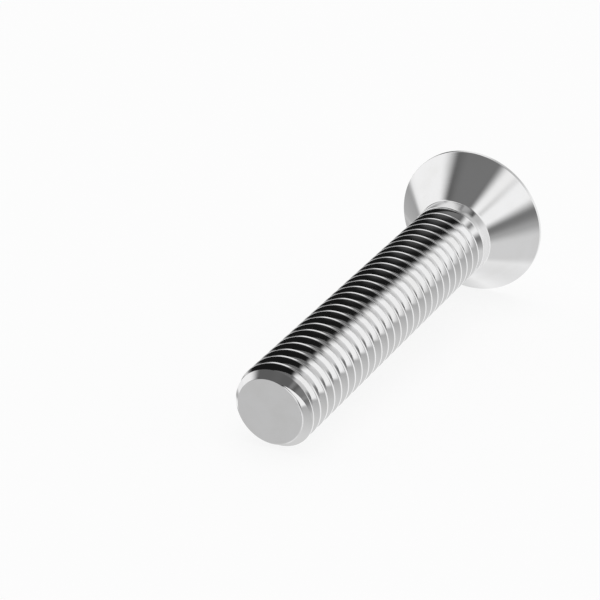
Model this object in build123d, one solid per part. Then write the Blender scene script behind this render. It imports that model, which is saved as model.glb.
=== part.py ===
from build123d import *
import math
import os

# Countersunk socket screw, M3 x 16: one piece of polished stainless steel, cold headed
# from wire and then thread rolled. It is built upright, with its tip on the ground plane
# and its axis on Z, and then laid on its side, where it rests on the rim of its head and
# on the first full thread crest. Sizes are in millimetres and angles in degrees.

# ---- Driving dimensions ----------------------------------------------------------------

# Whole screw
overall_length = 16.0        # from the tip to the flat top of the head
shank_diameter = 3.0         # plain neck under the head, the nominal size of the thread

# Thread: single start, right hand
thread_pitch = 0.5
crest_allowance = 0.02       # running clearance of the crests, measured on the radius
thread_end = 13.7            # from the tip to the shoulder where the plain neck begins
first_crest = 0.43           # from the tip to the first full crest, along the underside
flank_angle = 60.0           # between the two sides of a groove
tip_diameter = 2.4           # flat end face
tip_chamfer_angle = 45.0     # between the chamfer and the axis

# Head
head_diameter = 5.7
countersink_angle = 82.0     # between opposite sides of the seating cone
rim_height = 0.15            # straight edge between the seating cone and the flat top
neck_fillet = 0.1            # between the neck and the seating cone

# Socket
socket_width = 2.0           # across the flats of the hexagon
socket_depth = 1.1           # from the top of the head to the foot of each corner
socket_floor_angle = 120.0   # between opposite sides of the conical floor
socket_floor_width = 0.2     # across the small flat in the middle of the floor

# ---- Worked-out sizes ------------------------------------------------------------------

shank_radius = shank_diameter / 2
crest_radius = shank_radius - crest_allowance
tip_radius = tip_diameter / 2
head_radius = head_diameter / 2

# The basic profile of a metric thread is a row of sharp triangles, with an eighth of their
# height cut off the crests and a quarter of it filled in at the roots.
flank_slope = math.tan(math.radians(flank_angle / 2))
triangle_height = thread_pitch / 2 / flank_slope
root_radius = shank_radius - triangle_height * 5 / 8
crest_width = thread_pitch / 8 + 2 * crest_allowance * flank_slope
flank_width = (crest_radius - root_radius) * flank_slope
root_width = thread_pitch - crest_width - 2 * flank_width

tip_chamfer = (crest_radius - tip_radius) / math.tan(math.radians(tip_chamfer_angle))
shoulder_start = thread_end - (shank_radius - root_radius) * flank_slope

rim_start = overall_length - rim_height
cone_height = (head_radius - shank_radius) / math.tan(math.radians(countersink_angle / 2))
cone_start = rim_start - cone_height

socket_corner_radius = socket_width / math.sqrt(3)
socket_floor_radius = socket_floor_width / 2
socket_floor_slope = math.tan(math.radians(socket_floor_angle / 2))
socket_cone_depth = (socket_corner_radius - socket_floor_radius) / socket_floor_slope

# Lying down, the screw touches the ground at the lower corner of its rim and at the near
# side of its first full crest, so its axis rises a little towards the head.
contact_crest = first_crest - crest_width / 2
rest_angle = math.degrees(math.atan2(head_radius - crest_radius, rim_start - contact_crest))


def turned(*outline):
    """Solid of revolution about Z, from an outline of (radius, height) points."""
    with BuildPart() as solid:
        with BuildSketch(Plane.XZ):
            with BuildLine():
                Polyline(*outline, close=True)
            make_face()
        revolve(axis=Axis.Z)
    return solid.part


def helix(radius, start, turns):
    """Right-hand helix about Z that starts over +X, this high above the tip."""
    coil = Edge.make_helix(thread_pitch, turns * thread_pitch, radius)
    return Pos(0, 0, start) * coil


def screw_face(outline, start, turns):
    """Helical faces that the outline, a row of (radius, height) points, sweeps out."""
    rails = [helix(radius, start + height, turns) for radius, height in outline]
    return [Face.make_surface_from_curves(low, high) for low, high in zip(rails, rails[1:])]


def helical_end(outline, start):
    """Faces that close the thread at one end: a ramp of one turn, and its step over +X."""
    foot = Vector(0, 0, start)
    head = Vector(0, 0, start + thread_pitch)
    ramp = Face.make_surface_from_curves(Edge.make_line(foot, head), helix(root_radius, start, 1))
    corners = [Vector(radius, 0, start + height) for radius, height in outline]
    step = Face(Wire.make_polygon([foot, *corners, head], close=True))
    return [ramp, step]


def endless_thread():
    """Threaded rod with helical ends, which reach past both ends of the real thread.

    The section of one turn goes from the low edge of a root, up the flank to a crest and
    down the next flank, so that a crest crosses the +X side at first_crest. The faces are
    made two turns at a time, which keeps each of them a simple and exact surface.
    """
    section = [
        (root_radius, 0),
        (root_radius, root_width),
        (crest_radius, root_width + flank_width),
        (crest_radius, root_width + flank_width + crest_width),
        (root_radius, thread_pitch),
    ]
    turns_per_face = 2
    first_start = first_crest - crest_width / 2 - flank_width - root_width
    turns_below = math.ceil(first_start / thread_pitch) + 1
    start = first_start - turns_below * thread_pitch
    lengths = math.ceil((thread_end - start) / (turns_per_face * thread_pitch))
    faces = helical_end(section, start)
    for length in range(lengths):
        faces += screw_face(section, start, turns_per_face)
        start += turns_per_face * thread_pitch
    faces += helical_end(section, start)
    return Solid(Shell(faces))


def threaded_shank():
    """The thread, cut to length with a flat tip and a chamfer."""
    clear_radius = crest_radius + thread_pitch
    clear_chamfer = tip_chamfer * (clear_radius - tip_radius) / (crest_radius - tip_radius)
    envelope = turned(
        (0, 0),
        (tip_radius, 0),
        (clear_radius, clear_chamfer),
        (clear_radius, thread_end),
        (0, thread_end),
    )
    return endless_thread() & envelope


def neck_and_head():
    """Shoulder where the groove runs out, plain neck, seating cone, rim and flat top."""
    with BuildPart() as blank:
        with BuildSketch(Plane.XZ) as half_section:
            with BuildLine():
                Polyline(
                    (0, shoulder_start),
                    (root_radius, shoulder_start),
                    (shank_radius, thread_end),
                    (shank_radius, cone_start),
                    (head_radius, rim_start),
                    (head_radius, overall_length),
                    (0, overall_length),
                    close=True,
                )
            make_face()
            under_head = half_section.vertices().sort_by_distance((shank_radius, cone_start))[0]
            fillet(under_head, neck_fillet)
        revolve(axis=Axis.Z)
    return blank.part


def socket():
    """Hexagonal recess, cut off at its foot by a shallow cone with a small flat."""
    mouth = Plane((0, 0, overall_length))
    depth = socket_depth + socket_cone_depth
    hexagon = extrude(mouth * RegularPolygon(socket_corner_radius, 6), -depth)
    drill = turned(
        (0, overall_length - depth),
        (socket_floor_radius, overall_length - depth),
        (socket_corner_radius, overall_length - socket_depth),
        (socket_corner_radius, overall_length),
        (0, overall_length),
    )
    return hexagon & drill


def laid_down(screw):
    """Tip the upright screw over towards +X and set it on the ground, box centred."""
    lying = Rot(0, 90 - rest_angle, 0) * screw
    box = lying.bounding_box()
    return Pos(-box.center().X, -box.center().Y, -box.min.Z) * lying


os.makedirs("parts", exist_ok=True)
screw = threaded_shank() + neck_and_head() - socket()
screw = laid_down(screw)
export_step(screw, "parts/screw.step")
print("rest angle", round(rest_angle, 3), "size", screw.bounding_box().size)
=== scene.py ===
"""Countersunk socket screw M3 x 16: the finished screw and the studio it lies in."""

import math
from contextlib import contextmanager
from types import SimpleNamespace

import bmesh
import bpy
from bpy.props import FloatProperty, FloatVectorProperty, PointerProperty
from mathutils import Matrix, Vector


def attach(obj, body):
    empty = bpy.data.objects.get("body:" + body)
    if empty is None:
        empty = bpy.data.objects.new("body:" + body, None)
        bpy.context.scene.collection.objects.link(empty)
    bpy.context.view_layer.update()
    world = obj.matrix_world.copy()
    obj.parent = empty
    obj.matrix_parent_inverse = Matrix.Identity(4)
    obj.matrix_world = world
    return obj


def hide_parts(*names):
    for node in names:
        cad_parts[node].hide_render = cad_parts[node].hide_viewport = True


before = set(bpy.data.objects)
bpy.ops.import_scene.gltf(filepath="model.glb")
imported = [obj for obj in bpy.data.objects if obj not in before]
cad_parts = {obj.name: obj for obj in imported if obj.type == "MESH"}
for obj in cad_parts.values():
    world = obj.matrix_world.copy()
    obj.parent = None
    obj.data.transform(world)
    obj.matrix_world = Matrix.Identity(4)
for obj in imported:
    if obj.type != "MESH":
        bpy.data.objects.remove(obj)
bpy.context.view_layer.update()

bl_info = {
    "name": "Countersunk Socket Screw",
    "version": (1, 0, 0),
    "blender": (4, 5, 0),
    "location": "View3D > Sidebar > Screw",
    "description": "Models a rolled and polished countersunk screw and sets up its studio",
    "category": "Add Mesh",
}

# The screw is drawn upright in millimetres, with its tip on the ground plane, and is made
# metres when it is laid down. The next distances are in these millimetres too.
MM = 0.001
SAME_POINT = 0.0001       # points of one surface that are nearer than this are one point
SEAM_GAP = 0.0005         # the same, along the seams where two pieces were joined
CUT_TOLERANCE = 0.00001   # points this near to a cut lie on it

# How many steps make one turn of each form
THREAD_STEPS = 72
TIP_STEPS = 144
HEAD_STEPS = 192
SOCKET_STEPS = 96

# Distance from a rounded corner to the next point on the straight run, in radii of the corner
RUN_SHARE = 0.2

# What places a soft pane of the room: the bearing of its middle, half its width, its low and
# high ends, and how softly its sides, its low end and its high end fade
PANE_ANGLES = ("Bearing", "Half Width", "Low", "High", "Side Edge", "Low Edge", "High Edge")

# Places of A, B and Result among the sockets of a Mix node, for each kind of data
MIX_SOCKETS = {"FLOAT": (2, 3, 0), "RGBA": (6, 7, 2)}


# ---- Sizes, finish and studio ------------------------------------------------------------


def length(name, description, millimetres):
    """Property for a length, kept in metres."""
    return FloatProperty(
        name=name, description=description, default=millimetres * MM, min=0.0, precision=5,
        subtype="DISTANCE", unit="LENGTH",
    )


def angle(name, description, degrees):
    """Property for an angle, kept in radians."""
    return FloatProperty(
        name=name, description=description, default=math.radians(degrees),
        subtype="ANGLE", unit="ROTATION",
    )


def level(name, description, value):
    """Property for a roughness or a brightness, where 1 is fully rough or white."""
    return FloatProperty(name=name, description=description, default=value, min=0.0, soft_max=1.2)


class ScrewSizes(bpy.types.PropertyGroup):
    """Sizes of the screw, the same as those of the solid part, and its fine roundings."""

    overall_length: length("Overall length", "From the tip to the flat top of the head", 16.0)
    shank_diameter: length("Shank diameter", "Plain neck, the nominal size of the thread", 3.0)
    thread_pitch: length("Thread pitch", "Rise of the thread in one turn", 0.5)
    crest_allowance: length("Crest allowance", "Clearance of the crests on the radius", 0.02)
    thread_end: length("Thread end", "From the tip to the shoulder at the neck", 13.7)
    first_crest: length("First crest", "First full crest on the underside", 0.43)
    crest_rounding: length("Crest rounding", "Radius of the two corners of each crest", 0.022)
    run_out: length("Run-out", "Length over which the groove grows shallow before the neck", 0.4)
    tip_diameter: length("Tip diameter", "Flat end face", 2.4)
    tip_chamfer_angle: angle("Tip chamfer angle", "Between the chamfer and the axis", 45.0)
    tip_rounding: length("Tip rounding", "Radius round the flat end face", 0.016)
    head_diameter: length("Head diameter", "Across the flat top", 5.7)
    countersink_angle: angle("Countersink angle", "Between opposite sides of the cone", 82.0)
    rim_height: length("Rim height", "Straight edge between the cone and the top", 0.15)
    rim_rounding: length("Rim rounding", "Radius of both corners of the rim", 0.03)
    neck_fillet: length("Neck fillet", "Radius between the neck and the cone", 0.1)
    socket_width: length("Socket width", "Across the flats of the hexagon", 2.0)
    socket_depth: length("Socket depth", "From the top to the foot of each corner", 1.1)
    socket_floor_angle: angle("Socket floor angle", "Between opposite sides of the floor", 120.0)
    socket_floor_width: length("Socket floor width", "Across the small flat of the floor", 0.2)
    socket_rounding: length("Socket rounding", "Radius round the mouth of the socket", 0.02)


class SteelFinish(bpy.types.PropertyGroup):
    """Colour and polish of the steel."""

    color: FloatVectorProperty(
        name="Steel color", description="Polished stainless steel", subtype="COLOR", size=3,
        default=(0.82, 0.82, 0.824), min=0.0, max=1.0,
    )
    stain: FloatVectorProperty(
        name="Haze color", description="Steel under the haze left by washing", subtype="COLOR",
        size=3, default=(0.79, 0.788, 0.786), min=0.0, max=1.0,
    )
    thread_roughness: level("Thread roughness", "Rolled thread", 0.06)
    head_roughness: level("Head roughness", "Neck, seating cone, rim and top of the head", 0.06)
    tip_roughness: level("Tip roughness", "Flat tip and its chamfer", 0.06)
    socket_roughness: level("Socket roughness", "Punched walls and floor of the socket", 0.11)
    mark_spacing: length("Mark spacing", "Between the fine marks left by the tools", 0.045)
    mark_depth: length("Mark depth", "Depth of the fine marks left by the tools", 0.0004)


class StudioLook(bpy.types.PropertyGroup):
    """Levels of the studio's light, where 1 is white."""

    window_level: level("Windows", "Both tall windows and the low one by the camera", 1.05)
    wall_level: level("Back wall", "Pale wall behind the screw", 0.62)
    sweep_level: level("Sweep", "White sweep under the back wall, lit corner and cards", 1.0)
    shade_level: level("Shade", "Dim side wall round the right window", 0.21)
    dark_level: level("Dark walls", "Lower part of the walls, where nothing else stands", 0.01)
    upper_level: level("Upper walls", "Dim upper part of the walls, between the windows", 0.125)
    ceiling_level: level("Ceiling", "From above the windows to straight above", 0.2)
    floor_near: level("Near floor", "Floor straight under the screw, as the steel mirrors it", 0.77)
    floor_far: level("Far floor", "Floor towards the horizon, as the steel mirrors it", 0.3)
    floor_white: level("Floor white", "Share of plain white in the floor for the camera", 0.88)
    overhead_power: FloatProperty(
        name="Overhead", description="Light over the floor", default=6.0, subtype="POWER",
    )

    def panes(self):
        """Soft-edged parts of the room, each over the ones before it.

        A row has the pane's name, its angles in degrees in the order of PANE_ANGLES, and its
        level. A factor beside a level is for a part that is a little dimmer than the rest.
        """
        return (
            ("ceiling", 0, 181, 53, 91, 1, 7, 1, self.ceiling_level),
            ("floor on the left", 150, 30, -55, -12, 12, 10, 8, self.floor_near * 0.79),
            ("floor by the right wall", -95, 24, -66, -22, 10, 14, 8, self.floor_near * 0.96),
            ("shaded side wall", -100, 43, -7, 65, 6, 7, 8, self.shade_level),
            ("back wall", -12, 80, 22, 40, 2, 18, 2, self.wall_level),
            ("white sweep", -26, 56, -74, 24, 7, 20, 14, self.sweep_level),
            ("lit corner", 30, 24, 22.5, 54, 9, 6, 5, self.sweep_level),
            ("top of the back wall", -16, 16, 48, 75, 5, 5, 5, self.wall_level * 0.8),
            ("right window, far part", -92, 30, 18, 62, 9, 8, 10, self.window_level * 0.8),
            ("right window, near part", -127, 20, 36.5, 58, 9, 7, 12, self.window_level),
            ("right window", -109.5, 18.5, 9, 56, 4, 8, 8, self.window_level),
            ("left window", 87, 22, -6, 52, 10, 3.5, 6, self.window_level),
            ("left card", 81, 9, -24, -2, 4, 4, 4, self.sweep_level),
            ("left card, low end", 60, 10, -44, -24.5, 3, 6, 2, self.sweep_level),
            ("low window", -157.5, 15, -21, 18, 4, 3, 5, self.window_level),
        )


def drawing_sizes(sizes):
    """Sizes as plain numbers, with the lengths in the millimetres that the screw is drawn in."""
    numbers = {}
    for name in type(sizes).__annotations__:
        is_length = sizes.bl_rna.properties[name].unit == "LENGTH"
        numbers[name] = getattr(sizes, name) / (MM if is_length else 1)
    return SimpleNamespace(**numbers)


def resting_place(sizes):
    """Turn about Y and place of the tip, where the screw rests on its rim and its first crest."""
    crest = sizes.shank_diameter / 2 - sizes.crest_allowance
    crest_width = sizes.thread_pitch / 8 + sizes.crest_allowance * 2 / math.sqrt(3)
    head = sizes.head_diameter / 2
    rim = sizes.overall_length - sizes.rim_height
    rest = math.atan2(head - crest, rim - (sizes.first_crest - crest_width / 2))
    low_end = -sizes.tip_diameter / 2 * math.sin(rest)
    high_end = head * math.sin(rest) + sizes.overall_length * math.cos(rest)
    lift = head * math.cos(rest) - rim * math.sin(rest)
    return math.pi / 2 - rest, (-(low_end + high_end) / 2, 0, lift)


# ---- Drawing by revolution ---------------------------------------------------------------


def deselect_all():
    """Leave edit mode and deselect everything, the solid part included."""
    if bpy.context.object and bpy.context.object.mode != "OBJECT":
        bpy.ops.object.mode_set(mode="OBJECT")
    bpy.ops.object.select_all(action="DESELECT")


def make_active(piece):
    """Select this piece alone."""
    deselect_all()
    piece.select_set(True)
    bpy.context.view_layer.objects.active = piece


@contextmanager
def editing(piece, wanted=None):
    """Edit mode with the whole piece selected, or only those of its edges that are wanted."""
    make_active(piece)
    bpy.ops.object.mode_set(mode="EDIT")
    bpy.ops.mesh.select_mode(type="EDGE" if wanted else "VERT")
    bpy.ops.mesh.select_all(action="DESELECT" if wanted else "SELECT")
    if wanted:
        mesh = bmesh.from_edit_mesh(piece.data)
        for edge in mesh.edges:
            if wanted(edge):
                edge.select_set(True)
        bmesh.update_edit_mesh(piece.data)
    yield
    bpy.ops.object.mode_set(mode="OBJECT")


def rounded(before, corner, after, radius, steps, crowned=False):
    """Points of the arc that rounds off a corner of an outline.

    A point on the straight run at each end of the arc keeps the run's own shading flat. Without
    these points the run is shaded as if it were slightly crowned towards the arc.
    """
    corner = Vector(corner)
    back = (Vector(before) - corner).normalized()
    ahead = (Vector(after) - corner).normalized()
    half = back.angle(ahead) / 2
    centre = corner + (back + ahead).normalized() * radius / math.sin(half)
    reach = radius / math.tan(half)
    start = corner + back * reach - centre
    turn = (math.pi - 2 * half) * math.copysign(1, back.cross(ahead))
    swings = [Matrix.Rotation(-turn * step / steps, 2) for step in range(steps + 1)]
    points = [centre + swing @ start for swing in swings]
    if not crowned:
        run = reach + radius * RUN_SHARE
        points = [corner + back * run, *points, corner + ahead * run]
    return [tuple(point) for point in points]


def rounded_outline(rows):
    """Outline through (radius, height, rounding, steps) rows. Rounding 0 keeps a corner sharp."""
    corners = [row[:2] for row in rows]
    outline = []
    for index, (radius, height, rounding, steps) in enumerate(rows):
        if rounding:
            outline += rounded(*corners[index - 1:index + 2], rounding, steps)
        else:
            outline.append((radius, height))
    return outline


def drawn_outline(name, points, finish):
    """New mesh object that holds a chain of edges through these (radius, height) points."""
    deselect_all()
    bpy.ops.mesh.primitive_plane_add(size=1)
    outline = bpy.context.object
    outline.name = outline.data.name = name
    outline.data.materials.append(bpy.data.materials[finish])
    with editing(outline):
        bpy.ops.mesh.merge(type="CENTER")
        bpy.ops.transform.translate(value=(points[0][0], 0, points[0][1]))
        for (radius, height), (next_radius, next_height) in zip(points, points[1:]):
            step = (next_radius - radius, 0, next_height - height)
            bpy.ops.mesh.extrude_vertices_move(TRANSFORM_OT_translate={"value": step})
    return outline


def revolved(name, points, finish, steps, rise=0.0, turns=1):
    """Surface that the outline sweeps out about Z, rising by this much in each turn."""
    piece = drawn_outline(name, points, finish)
    sweep = piece.modifiers.new("Sweep", "SCREW")
    sweep.axis = "Z"
    sweep.angle = math.tau
    sweep.screw_offset = rise
    sweep.iterations = turns
    sweep.steps = sweep.render_steps = steps
    sweep.use_merge_vertices = True
    sweep.merge_threshold = SAME_POINT
    bpy.ops.object.modifier_apply(modifier=sweep.name)
    with editing(piece):
        bpy.ops.mesh.remove_doubles(threshold=SAME_POINT)
        bpy.ops.mesh.normals_make_consistent(inside=False)
    return piece


def cut_off(piece, height, above):
    """Cut the piece square to its axis at this height, and close the cut."""
    with editing(piece):
        bpy.ops.mesh.bisect(
            plane_co=(0, 0, height), plane_no=(0, 0, 1), use_fill=True,
            clear_outer=above, clear_inner=not above, threshold=CUT_TOLERANCE,
        )


def combine(piece, other, operation):
    """Boolean of two closed pieces. The other one is used up."""
    make_active(piece)
    join = piece.modifiers.new("Join", "BOOLEAN")
    join.operation = operation
    join.solver = "EXACT"
    join.material_mode = "TRANSFER"
    join.object = other
    bpy.ops.object.modifier_apply(modifier=join.name)
    bpy.data.objects.remove(other)
    if not piece.data.polygons:
        raise RuntimeError(f"nothing was left of {piece.name} after {operation}")


# ---- Nodes -------------------------------------------------------------------------------


def new_group(name, inputs, outputs):
    """Node group with these inputs, as (name, kind, default), and outputs, as (name, kind)."""
    group = bpy.data.node_groups.new(name, "ShaderNodeTree")
    for title, kind, default in inputs:
        socket = group.interface.new_socket(title, in_out="INPUT", socket_type=kind)
        if default is not None:
            socket.default_value = default
    for title, kind in outputs:
        group.interface.new_socket(title, in_out="OUTPUT", socket_type=kind)
    return group, group.nodes.new("NodeGroupInput"), group.nodes.new("NodeGroupOutput")


def new_material(name):
    """Material, its node tree and the shader that it starts with."""
    material = bpy.data.materials.new(name)
    material.use_nodes = True
    return material, material.node_tree, material.node_tree.nodes["Principled BSDF"]


def feed(tree, socket, source):
    """Link another socket to this one, or set it to a plain value."""
    if isinstance(source, bpy.types.NodeSocket):
        tree.links.new(source, socket)
    else:
        socket.default_value = source


def math_node(tree, operation, *sources):
    """Result of a Math node that is fed by sockets or by plain numbers."""
    node = tree.nodes.new("ShaderNodeMath")
    node.operation = operation
    for socket, source in zip(node.inputs, sources):
        feed(tree, socket, source)
    return node.outputs[0]


def vector_node(tree, operation, *sources):
    """Result of a Vector Math node that is fed by sockets or by plain vectors."""
    node = tree.nodes.new("ShaderNodeVectorMath")
    node.operation = operation
    for socket, source in zip(node.inputs, sources):
        feed(tree, socket, source)
    return node.outputs["Value" if operation == "LENGTH" else "Vector"]


def split(tree, vector):
    """X, Y and Z of a vector."""
    node = tree.nodes.new("ShaderNodeSeparateXYZ")
    tree.links.new(vector, node.inputs[0])
    return node.outputs


def ramp(tree, value, start, end, low=0.0, high=1.0, smooth=True):
    """Goes from low at start to high at end, and is level beyond both."""
    node = tree.nodes.new("ShaderNodeMapRange")
    node.interpolation_type = "SMOOTHSTEP" if smooth else "LINEAR"
    for title, source in (
        ("Value", value), ("From Min", start), ("From Max", end), ("To Min", low), ("To Max", high),
    ):
        feed(tree, node.inputs[title], source)
    return node.outputs["Result"]


def blend(tree, factor, first, second, kind="FLOAT"):
    """Number or colour between two others."""
    node = tree.nodes.new("ShaderNodeMix")
    node.data_type = kind
    first_place, second_place, result_place = MIX_SOCKETS[kind]
    feed(tree, node.inputs["Factor"], factor)
    feed(tree, node.inputs[first_place], first)
    feed(tree, node.inputs[second_place], second)
    return node.outputs[result_place]


def noise(tree, place, scale, detail):
    """Cloudy pattern from 0 to 1."""
    node = tree.nodes.new("ShaderNodeTexNoise")
    node.inputs["Scale"].default_value = scale
    node.inputs["Detail"].default_value = detail
    tree.links.new(place, node.inputs["Vector"])
    return node.outputs[0]


# ---- Finishes ----------------------------------------------------------------------------


def marks_group():
    """Fine marks left by the tools, with the faint haze and hairlines of handled steel.

    Across counts the marks from one to the next, and Around is the direction from the axis,
    so that each mark runs round the screw and slowly changes on its way.
    """
    group, given, made = new_group(
        "Tool marks",
        [
            ("Point", "NodeSocketVector", None),
            ("Around", "NodeSocketVector", None),
            ("Across", "NodeSocketFloat", 0.0),
            ("Roughness", "NodeSocketFloat", 0.08),
            ("Color", "NodeSocketColor", (0.8, 0.8, 0.8, 1)),
            ("Haze Color", "NodeSocketColor", (0.75, 0.75, 0.75, 1)),
        ],
        [
            ("Color", "NodeSocketColor"),
            ("Roughness", "NodeSocketFloat"),
            ("Height", "NodeSocketFloat"),
        ],
    )
    point = given.outputs["Point"]

    # A mark runs on a circle of radius 1.5 in the noise, and changes about nine times in a turn
    track = group.nodes.new("ShaderNodeCombineXYZ")
    group.links.new(given.outputs["Across"], track.inputs["Z"])
    place = vector_node(
        group, "MULTIPLY_ADD", given.outputs["Around"], (1.5, 1.5, 0), track.outputs[0],
    )
    marks = noise(group, place, scale=1.0, detail=3.0)

    # The haze has patches about a millimetre wide
    haze = ramp(group, noise(group, point, scale=1.1, detail=4.0), start=0.35, end=0.75)

    # The hairlines lie aslant, and are 20 times as long as they are wide
    lean = group.nodes.new("ShaderNodeMapping")
    lean.inputs["Rotation"].default_value = (0.5, 0.9, 0.3)
    lean.inputs["Scale"].default_value = (1.2, 24, 24)
    group.links.new(point, lean.inputs["Vector"])
    scratches = noise(group, lean.outputs[0], scale=1.0, detail=2.0)
    hairlines = ramp(group, scratches, start=0.66, end=0.74)

    # Around the roughness that is given, the marks vary it by a quarter up and down
    rough = math_node(group, "MULTIPLY_ADD", marks, 0.5, 0.75)
    for mask, share in ((haze, 0.45), (hairlines, 0.6)):
        rough = math_node(group, "ADD", rough, math_node(group, "MULTIPLY", mask, share))
    rough = math_node(group, "MULTIPLY", rough, given.outputs["Roughness"])
    group.links.new(rough, made.inputs["Roughness"])

    tint = blend(group, haze, given.outputs["Color"], given.outputs["Haze Color"], "RGBA")
    group.links.new(tint, made.inputs["Color"])

    # The hairlines are 0.3 as deep as the marks
    relief = math_node(group, "SUBTRACT", marks, math_node(group, "MULTIPLY", hairlines, 0.3))
    group.links.new(relief, made.inputs["Height"])
    return group


def steel(name, roughness, lead, marks, sizes, finish):
    """Make polished stainless steel, with tool marks that rise by this lead in each turn.

    Where the lead is 0, the marks are rings.
    """
    _, tree, body = new_material(name)
    body.inputs["Metallic"].default_value = 1

    # Turned and scaled back, so that the marks follow the upright screw's axis
    turn, tip = resting_place(sizes)
    own = tree.nodes.new("ShaderNodeMapping")
    own.label = "upright screw, in millimetres"
    own.vector_type = "TEXTURE"
    own.inputs["Location"].default_value = tip
    own.inputs["Rotation"].default_value = (0, turn, 0)
    own.inputs["Scale"].default_value = (MM, MM, MM)
    tree.links.new(tree.nodes.new("ShaderNodeTexCoord").outputs["Object"], own.inputs["Vector"])
    place = own.outputs["Vector"]
    from_axis = vector_node(tree, "MULTIPLY", place, (1, 1, 0))

    x, y, along = split(tree, place)
    if lead:
        swing = math_node(tree, "ARCTAN2", y, x)
        climb = math_node(tree, "MULTIPLY", swing, lead / MM / math.tau)
        along = math_node(tree, "SUBTRACT", along, climb)
        along = math_node(tree, "WRAP", along, lead / MM, 0.0)
    across = math_node(tree, "ADD", along, vector_node(tree, "LENGTH", from_axis))
    across = math_node(tree, "DIVIDE", across, finish.mark_spacing / MM)

    worn = tree.nodes.new("ShaderNodeGroup")
    worn.node_tree = marks
    for title, source in (
        ("Point", place),
        ("Around", vector_node(tree, "NORMALIZE", from_axis)),
        ("Across", across),
        ("Roughness", roughness),
        ("Color", (*finish.color, 1)),
        ("Haze Color", (*finish.stain, 1)),
    ):
        feed(tree, worn.inputs[title], source)
    bump = tree.nodes.new("ShaderNodeBump")
    bump.inputs["Strength"].default_value = 1
    bump.inputs["Distance"].default_value = finish.mark_depth
    tree.links.new(worn.outputs["Height"], bump.inputs["Height"])
    tree.links.new(worn.outputs["Color"], body.inputs["Base Color"])
    tree.links.new(worn.outputs["Roughness"], body.inputs["Roughness"])
    tree.links.new(bump.outputs["Normal"], body.inputs["Normal"])


def floor_paint(look):
    """Pale matt floor, partly plain white to the camera, which keeps its shadow.

    The steel doesn't mirror it: below the horizon it mirrors the room's own pale floor.
    """
    paint, tree, matt = new_material("pale floor")
    matt.inputs["Base Color"].default_value = (0.86, 0.86, 0.86, 1)
    matt.inputs["Roughness"].default_value = 1
    matt.inputs["Specular IOR Level"].default_value = 0
    path = tree.nodes.new("ShaderNodeLightPath")
    surface = matt.outputs[0]
    for ray, share, kind in (
        ("Is Camera Ray", look.floor_white, "ShaderNodeEmission"),
        ("Is Glossy Ray", 1.0, "ShaderNodeBsdfTransparent"),
    ):
        mix = tree.nodes.new("ShaderNodeMixShader")
        tree.links.new(math_node(tree, "MULTIPLY", path.outputs[ray], share), mix.inputs["Fac"])
        tree.links.new(surface, mix.inputs[1])
        tree.links.new(tree.nodes.new(kind).outputs[0], mix.inputs[2])
        surface = mix.outputs[0]
    tree.links.new(surface, tree.nodes["Material Output"].inputs["Surface"])
    return paint


def pane_group():
    """Mask of a soft-edged pane of the room, which is placed by its PANE_ANGLES in radians."""
    rows = [("Direction", "NodeSocketVector", None)]
    rows += [(title, "NodeSocketFloat", 0.0) for title in PANE_ANGLES]
    group, given, made = new_group("Soft pane", rows, [("Mask", "NodeSocketFloat")])
    turn = group.nodes.new("ShaderNodeVectorRotate")
    turn.rotation_type = "Z_AXIS"
    group.links.new(given.outputs["Direction"], turn.inputs["Vector"])
    back = math_node(group, "MULTIPLY", given.outputs["Bearing"], -1.0)
    group.links.new(back, turn.inputs["Angle"])
    x, y, up = split(group, turn.outputs["Vector"])
    aside = math_node(group, "ABSOLUTE", math_node(group, "ARCTAN2", y, x))
    height = math_node(group, "ARCSINE", up)
    mask = 1.0
    for value, limit, edge, outwards in (
        (aside, "Half Width", "Side Edge", 1.0),
        (height, "High", "High Edge", 1.0),
        (height, "Low", "Low Edge", -1.0),
    ):
        beyond = math_node(group, "SUBTRACT", value, given.outputs[limit])
        beyond = math_node(group, "MULTIPLY", beyond, outwards)
        soft = given.outputs[edge]
        part = ramp(group, beyond, math_node(group, "MULTIPLY", soft, -1.0), soft, 1.0, 0.0)
        mask = math_node(group, "MULTIPLY", part, mask)
    group.links.new(mask, made.inputs["Mask"])
    return group


# ---- The screw ---------------------------------------------------------------------------


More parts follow.
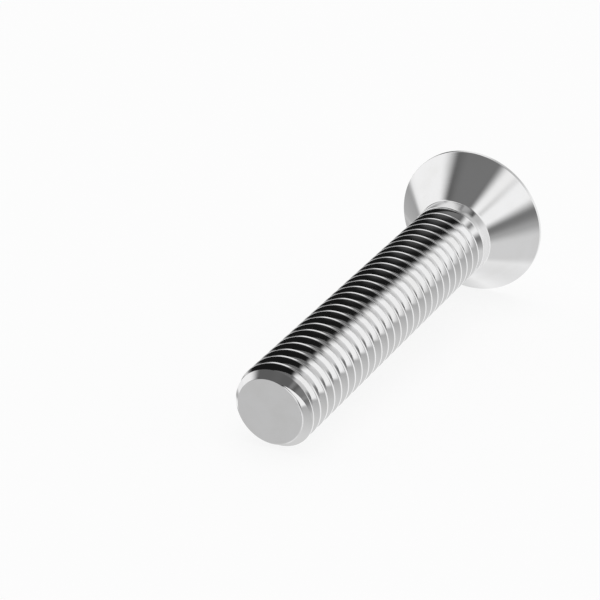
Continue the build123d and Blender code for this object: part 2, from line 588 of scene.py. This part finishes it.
class SCREW_OT_body(bpy.types.Operator):
    """Model the screw, from its rolled thread to its head with the socket, and lay it down"""

    bl_idname = "screw.body"
    bl_label = "Screw"
    bl_options = {"REGISTER", "UNDO"}

    def execute(self, context):
        sizes = context.scene.screw_sizes
        finish = context.scene.steel_finish
        marks = marks_group()
        for name, roughness, lead in (
            ("rolled steel", finish.thread_roughness, sizes.thread_pitch),
            ("turned steel", finish.tip_roughness, 0),
            ("headed steel", finish.head_roughness, 0),
            ("socket steel", finish.socket_roughness, 0),
        ):
            steel(name, roughness, lead, marks, sizes, finish)
        drawn = drawing_sizes(sizes)
        screw = self.rolled_thread(drawn)
        combine(screw, self.neck_and_head(drawn), "UNION")
        self.lay_down(screw, sizes)
        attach(screw, "root")
        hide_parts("screw")
        return {"FINISHED"}

    def rolled_thread(self, drawn):
        """Threaded rod, cut to length with a flat tip and a chamfer.

        The outline of one turn goes from the middle of a root over a crest to the middle of the
        next root. It is swept out from some turns below the tip to some turns past the neck.
        """
        turns_below = 3
        turns_past = 4
        root_steps = 10
        crest_steps = 5

        # A metric thread is a row of sharp triangles, with an eighth of their height cut off at
        # the crests, and with a rounding of a sixth of their height in the roots
        pitch = drawn.thread_pitch
        nominal = drawn.shank_diameter / 2
        crest = nominal - drawn.crest_allowance
        sharp_height = pitch * math.sqrt(3) / 2
        apex = nominal - sharp_height * 7 / 8
        root_rounding = sharp_height / 6
        spread = (crest - apex) / math.sqrt(3)

        middle = drawn.first_crest - pitch / 2 - turns_below * pitch
        foot = (apex, middle)
        low = (crest, middle + spread)
        high = (crest, middle + pitch - spread)
        next_foot = (apex, middle + pitch)
        root = rounded((crest, middle - spread), foot, low, root_rounding, root_steps)
        next_root = [(radius, height + pitch) for radius, height in root]
        half = len(root) // 2
        outline = [
            *root[half:],
            *rounded(foot, low, high, drawn.crest_rounding, crest_steps, crowned=True),
            *rounded(low, high, next_foot, drawn.crest_rounding, crest_steps, crowned=True),
            *next_root[:half + 1],
        ]
        turns = math.ceil((drawn.thread_end - middle) / pitch) + turns_past
        rod = revolved("screw_body", outline, "rolled steel", THREAD_STEPS, pitch, turns)

        # Both ends are cut square, clear of the tip and of the shoulder
        cut_off(rod, -1.5 * pitch, above=False)
        cut_off(rod, drawn.thread_end + pitch, above=True)
        combine(rod, self.tip_form(drawn), "INTERSECT")
        return rod

    def tip_form(self, drawn):
        """Solid that holds the flat tip, its chamfer and the length of the thread."""
        tip = drawn.tip_diameter / 2
        wide = drawn.shank_diameter / 2 + drawn.thread_pitch
        chamfer = (wide - tip) / math.tan(drawn.tip_chamfer_angle)
        end = drawn.thread_end + 0.2    # a little inside the neck
        outline = rounded_outline([
            (0, 0, 0, 0),
            (tip, 0, drawn.tip_rounding, 4),
            (wide, chamfer, 0, 0),
            (wide, end, 0, 0),
            (0, end, 0, 0),
        ])
        return revolved("tip_form", outline, "turned steel", TIP_STEPS)

    def neck_and_head(self, drawn):
        """Shoulder where the groove runs out, plain neck, cone, rim and flat top."""
        shank = drawn.shank_diameter / 2
        head = drawn.head_diameter / 2
        top = drawn.overall_length
        rim = top - drawn.rim_height
        cone = rim - (head - shank) / math.tan(drawn.countersink_angle / 2)
        stem = shank * 0.75             # deep inside the roots of the thread
        stem_end = drawn.thread_end - drawn.run_out
        shoulder_rounding = 0.05
        outline = rounded_outline([
            (0, stem_end, 0, 0),
            (stem, stem_end, 0, 0),
            (shank, drawn.thread_end, shoulder_rounding, 4),
            (shank, cone, drawn.neck_fillet, 8),
            (head, rim, drawn.rim_rounding, 4),
            (head, top, drawn.rim_rounding, 8),
            (0, top, 0, 0),
        ])
        blank = revolved("head", outline, "headed steel", HEAD_STEPS)
        combine(blank, self.socket_form(drawn), "DIFFERENCE")
        self.soften_mouth(blank, drawn)
        return blank

    def socket_form(self, drawn):
        """Punch of the socket: a hexagon bar that is cut off by a shallow cone."""
        bar = 3.0                       # length of the bar, more than the socket needs
        spare = 0.5                     # beyond the floor, and above the head
        corner = drawn.socket_width / math.sqrt(3)
        flat = drawn.socket_floor_width / 2
        foot = drawn.overall_length - drawn.socket_depth
        floor = foot - (corner - flat) / math.tan(drawn.socket_floor_angle / 2)
        above = drawn.overall_length + spare
        deselect_all()
        bpy.ops.mesh.primitive_cylinder_add(
            vertices=6, radius=corner, depth=bar, location=(0, 0, floor + (bar / 2 - spare)),
        )
        punch = bpy.context.object
        punch.name = "punch"
        punch.data.materials.append(bpy.data.materials["socket steel"])
        punch.rotation_euler = (0, 0, math.radians(30))    # two of its corners lie on X
        bpy.ops.object.transform_apply(location=True, rotation=True, scale=True)
        outline = [(0, floor), (flat, floor), (corner, foot), (corner, above), (0, above)]
        cone = revolved("punch_cone", outline, "socket steel", SOCKET_STEPS)
        combine(punch, cone, "INTERSECT")
        return punch

    def soften_mouth(self, blank, drawn):
        """Round off the six edges at the mouth of the socket."""
        reach = drawn.socket_width * 0.7    # past the corners of the hexagon, inside the rim
        folded = 0.5                        # least turn of an edge between two walls, in radians

        def at_mouth(edge):
            ends = [corner.co for corner in edge.verts]
            flush = all(abs(end.z - drawn.overall_length) < SAME_POINT for end in ends)
            near = all(math.hypot(end.x, end.y) < reach for end in ends)
            return flush and near and len(edge.link_faces) == 2 and edge.calc_face_angle() > folded

        with editing(blank, at_mouth):
            bpy.ops.mesh.bevel(
                offset=drawn.socket_rounding, segments=3, affect="EDGES", clamp_overlap=True,
            )

    def lay_down(self, screw, sizes):
        """Tip the upright screw over until it rests on its rim and its first crest."""
        turn, tip = resting_place(sizes)
        with editing(screw):
            bpy.ops.mesh.remove_doubles(threshold=SEAM_GAP)
        screw.scale = (MM, MM, MM)
        screw.rotation_euler = (0, turn, 0)
        screw.location = tip
        bpy.ops.object.transform_apply(location=True, rotation=True, scale=True)

        # More than the steps of a turn and of the drawn roundings, and less than a real corner
        bpy.ops.object.shade_smooth_by_angle(angle=math.radians(13))
        self.part_finishes(screw)

    def part_finishes(self, screw):
        """Keep a crisp edge wherever one finish meets another, as at the end of the thread."""
        def between_finishes(edge):
            return len({face.material_index for face in edge.link_faces}) > 1

        with editing(screw, between_finishes):
            bpy.ops.mesh.mark_sharp()


# ---- The studio --------------------------------------------------------------------------


class SCREW_OT_studio(bpy.types.Operator):
    """Set up the floor, the room with its soft windows, the overhead light and the camera"""

    bl_idname = "screw.studio"
    bl_label = "Studio"
    bl_options = {"REGISTER", "UNDO"}

    def execute(self, context):
        self.floor(context.scene.studio_look)
        self.room(context.scene)
        self.overhead(context.scene)
        self.camera(context.scene)
        return {"FINISHED"}

    def floor(self, look):
        """Round floor, wide enough to fill the camera's view."""
        deselect_all()
        bpy.ops.mesh.primitive_circle_add(vertices=96, radius=0.9, fill_type="NGON")
        floor = bpy.context.object
        floor.name = "floor"
        floor.data.materials.append(floor_paint(look))

    def room(self, scene):
        """World that the steel mirrors. The camera itself sees plain white beyond the floor."""
        look = scene.studio_look
        world = bpy.data.worlds.new("dim room with soft windows")
        world.use_nodes = True
        tree = world.node_tree
        where = tree.nodes.new("ShaderNodeTexCoord").outputs["Generated"]
        up = split(tree, where)["Z"]

        # Dark lower walls that turn into the upper ones, over a floor that pales towards the screw
        walls = ramp(
            tree, math_node(tree, "ARCSINE", up), start=math.radians(26), end=math.radians(34),
            low=look.dark_level, high=look.upper_level,
        )
        floor = ramp(
            tree, up, start=0.0, end=-1.0, low=look.floor_far, high=look.floor_near, smooth=False,
        )
        light = blend(tree, ramp(tree, up, start=-0.01, end=0.01), floor, walls)

        group = pane_group()
        for name, *angles, strength in look.panes():
            pane = tree.nodes.new("ShaderNodeGroup")
            pane.node_tree = group
            pane.label = name
            tree.links.new(where, pane.inputs["Direction"])
            for title, degrees in zip(PANE_ANGLES, angles):
                pane.inputs[title].default_value = math.radians(degrees)
            light = blend(tree, pane.outputs["Mask"], light, strength)

        mirrored = tree.nodes["Background"]
        mirrored.inputs["Color"].default_value = (1, 1, 1, 1)
        tree.links.new(light, mirrored.inputs["Strength"])
        white = tree.nodes.new("ShaderNodeBackground")
        white.inputs["Color"].default_value = (1, 1, 1, 1)
        path = tree.nodes.new("ShaderNodeLightPath")
        seen = tree.nodes.new("ShaderNodeMixShader")
        tree.links.new(path.outputs["Is Camera Ray"], seen.inputs["Fac"])
        tree.links.new(mirrored.outputs[0], seen.inputs[1])
        tree.links.new(white.outputs[0], seen.inputs[2])
        tree.links.new(seen.outputs[0], tree.nodes["World Output"].inputs["Surface"])
        scene.world = world

    def overhead(self, scene):
        """Large soft light a metre over the floor, which the steel doesn't mirror."""
        lamp = bpy.data.lights.new("overhead", "AREA")
        lamp.shape = "DISK"
        lamp.size = 1.2
        lamp.energy = scene.studio_look.overhead_power
        light = bpy.data.objects.new("overhead", lamp)
        light.location = (0, 0, 1.0)
        light.visible_glossy = False
        scene.collection.objects.link(light)

    def camera(self, scene):
        """Camera, placed by where the middle of the screw's tip lies in the frame."""
        lens = 136.74                      # millimetres
        sensor = 36.0                      # millimetres
        elevation = math.radians(22.89)    # the camera looks down by this much
        heading = math.radians(28.5)       # from +X, where the head lies, towards +Y
        depth = 0.07491                    # metres from the camera to the tip, along the view
        frame_side = 600                   # the square frame, in pixels
        tip_column = 269.52
        tip_row = 411.66

        across = (tip_column - frame_side / 2) / frame_side * sensor / lens * depth
        below = (tip_row - frame_side / 2) / frame_side * sensor / lens * depth
        forth = Vector((math.cos(heading), math.sin(heading), 0))
        right = Vector((math.sin(heading), -math.cos(heading), 0))
        up = Vector((0, 0, 1))
        ahead = math.cos(elevation) * forth - math.sin(elevation) * up
        down = -math.sin(elevation) * forth - math.cos(elevation) * up
        tip = Vector(resting_place(scene.screw_sizes)[1])

        eye = bpy.data.cameras.new("camera")
        eye.lens = lens
        eye.sensor_width = sensor
        eye.clip_start = 0.001
        eye.clip_end = 20
        camera = bpy.data.objects.new("camera", eye)
        scene.collection.objects.link(camera)
        camera.location = tip - (across * right + below * down + depth * ahead)
        camera.rotation_mode = "QUATERNION"
        camera.rotation_quaternion = Matrix((right, -down, -ahead)).transposed().to_quaternion()
        scene.camera = camera
        scene.view_settings.view_transform = "Standard"


# ---- The add-on --------------------------------------------------------------------------


class SCREW_PT_panel(bpy.types.Panel):
    """Lists the sizes and the steps"""

    bl_idname = "SCREW_PT_panel"
    bl_label = "Countersunk Socket Screw"
    bl_space_type = "VIEW_3D"
    bl_region_type = "UI"
    bl_category = "Screw"

    def draw(self, context):
        for title, group, step in (
            ("Sizes", context.scene.screw_sizes, None),
            ("Steel", context.scene.steel_finish, "screw.body"),
            ("Studio", context.scene.studio_look, "screw.studio"),
        ):
            box = self.layout.box()
            box.label(text=title)
            for name in type(group).__annotations__:
                box.prop(group, name)
            if step:
                box.operator(step)


CLASSES = (ScrewSizes, SteelFinish, StudioLook, SCREW_OT_body, SCREW_OT_studio, SCREW_PT_panel)


def register():
    for cls in CLASSES:
        bpy.utils.register_class(cls)
    bpy.types.Scene.screw_sizes = PointerProperty(type=ScrewSizes)
    bpy.types.Scene.steel_finish = PointerProperty(type=SteelFinish)
    bpy.types.Scene.studio_look = PointerProperty(type=StudioLook)


def unregister():
    del bpy.types.Scene.screw_sizes
    del bpy.types.Scene.steel_finish
    del bpy.types.Scene.studio_look
    for cls in reversed(CLASSES):
        bpy.utils.unregister_class(cls)


def main():
    """Register the add-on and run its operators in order."""
    register()
    bpy.ops.screw.body()
    bpy.ops.screw.studio()


if __name__ == "__main__":
    main()
